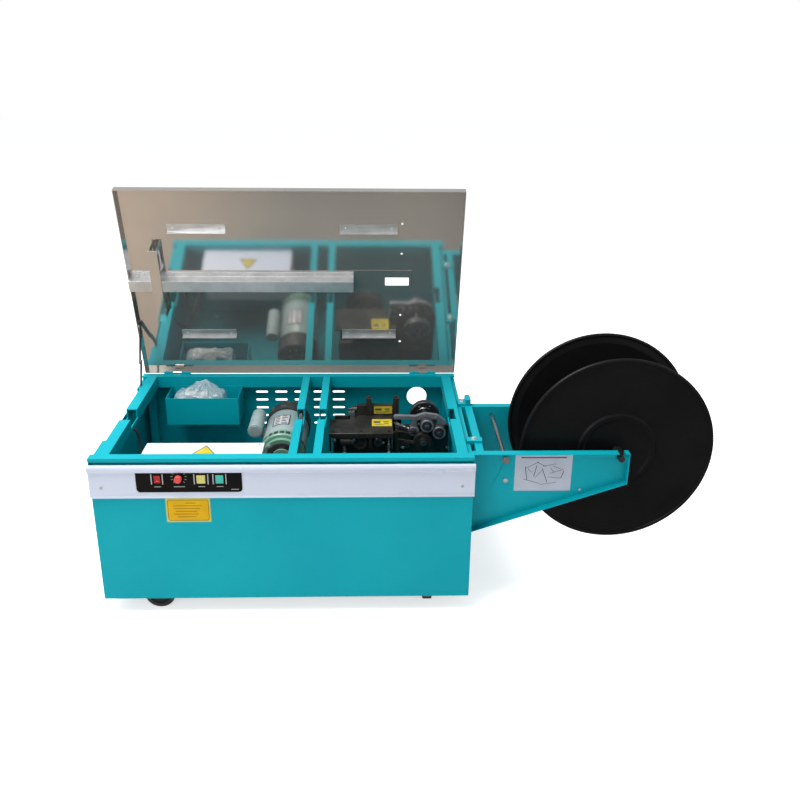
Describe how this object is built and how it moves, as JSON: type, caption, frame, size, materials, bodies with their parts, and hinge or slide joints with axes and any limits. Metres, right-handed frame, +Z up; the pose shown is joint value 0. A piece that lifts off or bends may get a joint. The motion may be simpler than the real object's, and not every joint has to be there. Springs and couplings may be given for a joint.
{
  "type": "semi automatic strapping machine",
  "caption": "Low strapping table on casters with a hinged stainless top standing open, sealing head and motor inside, and a black strap reel on a tapering side bracket.",
  "frame": {"origin": "on the floor under the middle of the whole machine's box with the table top open", "axes": "+Z up, -Y the machine's front with its controls, +X towards the strap reel"},
  "size_m": [1.5108, 0.5887, 0.983],
  "materials": {
    "cabinet_teal": "semi-gloss paint",
    "base_steel": "semi-gloss paint",
    "trim_white": "gloss paint",
    "fascia_black": "satin",
    "rocker_red": "gloss",
    "knob_red": "gloss",
    "button_yellow": "gloss",
    "button_green": "gloss",
    "label_stock": "satin film",
    "bag_film": "clear film",
    "box_steel": "satin paint",
    "lead_black": "matt",
    "motor_green": "enamel",
    "fan_black": "satin paint",
    "shaft_steel": "turned",
    "pulley_black": "painted",
    "belt_rubber": "matt",
    "head_black": "black oxide",
    "spring_steel": "drawn wire",
    "roller_steel": "ground",
    "cast_grey": "as cast",
    "table_stainless": "polished",
    "screw_zinc": "zinc plated",
    "stay_steel": "dark zinc",
    "axle_dark": "dark",
    "reel_black": "satin",
    "fork_zinc": "zinc plated",
    "wheel_rubber": "moulded"
  },
  "bodies": {
    "cabinet": {"top_frame": "cabinet_teal", "front_panel": "cabinet_teal", "left_panel": "cabinet_teal", "right_panel": "cabinet_teal", "rear_panel": "cabinet_teal", "base_plate": "base_steel", "front_trim": "trim_white", "control_fascia": "fascia_black", "switch_bezels": "fascia_black", "labels": "label_stock", "body_screws": "screw_zinc", "tool_tray": "cabinet_teal", "parts_bag": "bag_film", "electrical_box": "box_steel", "box_cover": "trim_white", "cable_gland": "lead_black", "inner_lead": "lead_black", "motor_body": "motor_green", "motor_end_bell": "motor_green", "fan_cover": "fan_black", "capacitor": "motor_green", "drive_belt": "belt_rubber", "head_frame": "head_black", "head_top_plate": "head_black", "cam_housing": "head_black", "rear_block": "head_black", "head_springs": "spring_steel", "hinge_brackets": "cabinet_teal", "reel_bracket": "cabinet_teal", "guide_rod": "shaft_steel", "reel_axle": "axle_dark"},
    "table": {"table_top": "table_stainless", "strap_channel": "table_stainless", "slot_plate": "table_stainless", "stop_gate": "table_stainless", "locating_brackets": "table_stainless", "table_screws": "screw_zinc"},
    "upper_stay": {"stay_upper": "stay_steel"},
    "lower_stay": {"stay_lower": "stay_steel"},
    "rocker": {"rocker_switch": "rocker_red"},
    "knob": {"tension_knob": "knob_red"},
    "yellow": {"yellow_button": "button_yellow"},
    "green": {"green_button": "button_green"},
    "rotor": {"motor_shaft": "shaft_steel", "motor_pulley": "pulley_black"},
    "head_drive": {"driven_pulley": "pulley_black"},
    "feed": {"feed_roller": "roller_steel"},
    "pinch": {"pinch_roller": "roller_steel"},
    "wheel_guide": {"guide_wheel": "roller_steel"},
    "lever": {"lever_arm": "cast_grey"},
    "reel": {"reel_disc_near": "reel_black", "reel_disc_far": "reel_black"},
    "swivel_front_left": {"caster_fork_front_left": "fork_zinc"},
    "wheel_front_left": {"caster_wheel_front_left": "wheel_rubber"},
    "swivel_front_right": {"caster_fork_front_right": "fork_zinc"},
    "wheel_front_right": {"caster_wheel_front_right": "wheel_rubber"},
    "swivel_rear_left": {"caster_fork_rear_left": "fork_zinc"},
    "wheel_rear_left": {"caster_wheel_rear_left": "wheel_rubber"},
    "swivel_rear_right": {"caster_fork_rear_right": "fork_zinc"},
    "wheel_rear_right": {"caster_wheel_rear_right": "wheel_rubber"}
  },
  "joints": [
    {"name": "table_hinge", "type": "hinge", "parent": "cabinet", "child": "table", "pos_m": [-0.2954, 0.27473, 0.4318], "axis": [1, 0, 0], "range_deg": [0, 75.3]},
    {"name": "stay_lower_pivot", "type": "hinge", "parent": "cabinet", "child": "lower_stay", "pos_m": [-0.7312, 0.15293, 0.3495], "axis": [1, 0, 0], "range_deg": [0, 82.49]},
    {"name": "stay_upper_pivot", "type": "hinge", "parent": "table", "child": "upper_stay", "pos_m": [-0.7342, 0.24461, 0.58208], "axis": [1, 0, 0], "range_deg": [-135.44, 0]},
    {"name": "power_rocker", "type": "hinge", "parent": "cabinet", "child": "rocker", "pos_m": [-0.5878, -0.27407, 0.377], "axis": [1, 0, 0], "range_deg": [-12, 0]},
    {"name": "tension_setting", "type": "hinge", "parent": "cabinet", "child": "knob", "pos_m": [-0.5374, -0.28507, 0.3805], "axis": [0, 1, 0], "range_deg": [-135, 135]},
    {"name": "yellow_push", "type": "slide", "parent": "cabinet", "child": "yellow", "axis": [0, 1, 0], "range_m": [0, 0.003], "stiffness_N_per_m": 900, "springref_m": -0.0015},
    {"name": "green_push", "type": "slide", "parent": "cabinet", "child": "green", "axis": [0, 1, 0], "range_m": [0, 0.003], "stiffness_N_per_m": 900, "springref_m": -0.0015},
    {"name": "motor_spin", "type": "hinge", "parent": "cabinet", "child": "rotor", "pos_m": [-0.3184, 0.02493, 0.33], "axis": [0, 1, 0], "continuous": true},
    {"name": "head_shaft_spin", "type": "hinge", "parent": "cabinet", "child": "head_drive", "pos_m": [-0.1084, -0.07507, 0.238], "axis": [0, 1, 0], "continuous": true},
    {"name": "feed_roller_spin", "type": "hinge", "parent": "cabinet", "child": "feed", "pos_m": [0.0586, -0.01707, 0.395], "axis": [0, 1, 0], "continuous": true},
    {"name": "pinch_roller_spin", "type": "hinge", "parent": "cabinet", "child": "pinch", "pos_m": [0.0906, -0.01707, 0.376], "axis": [0, 1, 0], "continuous": true},
    {"name": "guide_wheel_spin", "type": "hinge", "parent": "cabinet", "child": "wheel_guide", "pos_m": [0.0576, 0.07993, 0.383], "axis": [0, 1, 0], "continuous": true},
    {"name": "lever_pivot", "type": "hinge", "parent": "cabinet", "child": "lever", "pos_m": [0.0246, 0.00093, 0.372], "axis": [0, 1, 0], "range_deg": [-2.5, 2.5], "stiffness_Nm_per_rad": 6},
    {"name": "reel_spin", "type": "hinge", "parent": "cabinet", "child": "reel", "pos_m": [0.5154, -0.08907, 0.4008], "axis": [0, 1, 0], "continuous": true},
    {"name": "caster_swivel_front_left", "type": "hinge", "parent": "cabinet", "child": "swivel_front_left", "pos_m": [-0.6414, -0.23707, 0.09], "axis": [0, 0, 1], "range_deg": [0, 180]},
    {"name": "caster_roll_front_left", "type": "hinge", "parent": "swivel_front_left", "child": "wheel_front_left", "pos_m": [-0.6164, -0.23707, 0.0375], "axis": [0, 1, 0], "continuous": true},
    {"name": "caster_swivel_front_right", "type": "hinge", "parent": "cabinet", "child": "swivel_front_right", "pos_m": [0.0536, -0.23707, 0.09], "axis": [0, 0, 1], "range_deg": [-90, 90]},
    {"name": "caster_roll_front_right", "type": "hinge", "parent": "swivel_front_right", "child": "wheel_front_right", "pos_m": [0.0536, -0.21207, 0.0375], "axis": [-1, 0, 0], "continuous": true},
    {"name": "caster_swivel_rear_left", "type": "hinge", "parent": "cabinet", "child": "swivel_rear_left", "pos_m": [-0.6414, 0.23893, 0.09], "axis": [0, 0, 1], "range_deg": [-90, 90]},
    {"name": "caster_roll_rear_left", "type": "hinge", "parent": "swivel_rear_left", "child": "wheel_rear_left", "pos_m": [-0.6414, 0.21393, 0.0375], "axis": [1, 0, 0], "continuous": true},
    {"name": "caster_swivel_rear_right", "type": "hinge", "parent": "cabinet", "child": "swivel_rear_right", "pos_m": [0.0536, 0.23893, 0.09], "axis": [0, 0, 1], "range_deg": [-180, 0]},
    {"name": "caster_roll_rear_right", "type": "hinge", "parent": "swivel_rear_right", "child": "wheel_rear_right", "pos_m": [0.0786, 0.23893, 0.0375], "axis": [0, 1, 0], "continuous": true}
  ],
  "couplings": [
    {"joint": "stay_lower_pivot", "follows": "table_hinge", "ratio": 1.0822},
    {"joint": "stay_upper_pivot", "follows": "table_hinge", "ratio": -1.7853},
    {"joint": "head_shaft_spin", "follows": "motor_spin", "ratio": 0.43089},
    {"joint": "pinch_roller_spin", "follows": "feed_roller_spin", "ratio": -1}
  ]
}
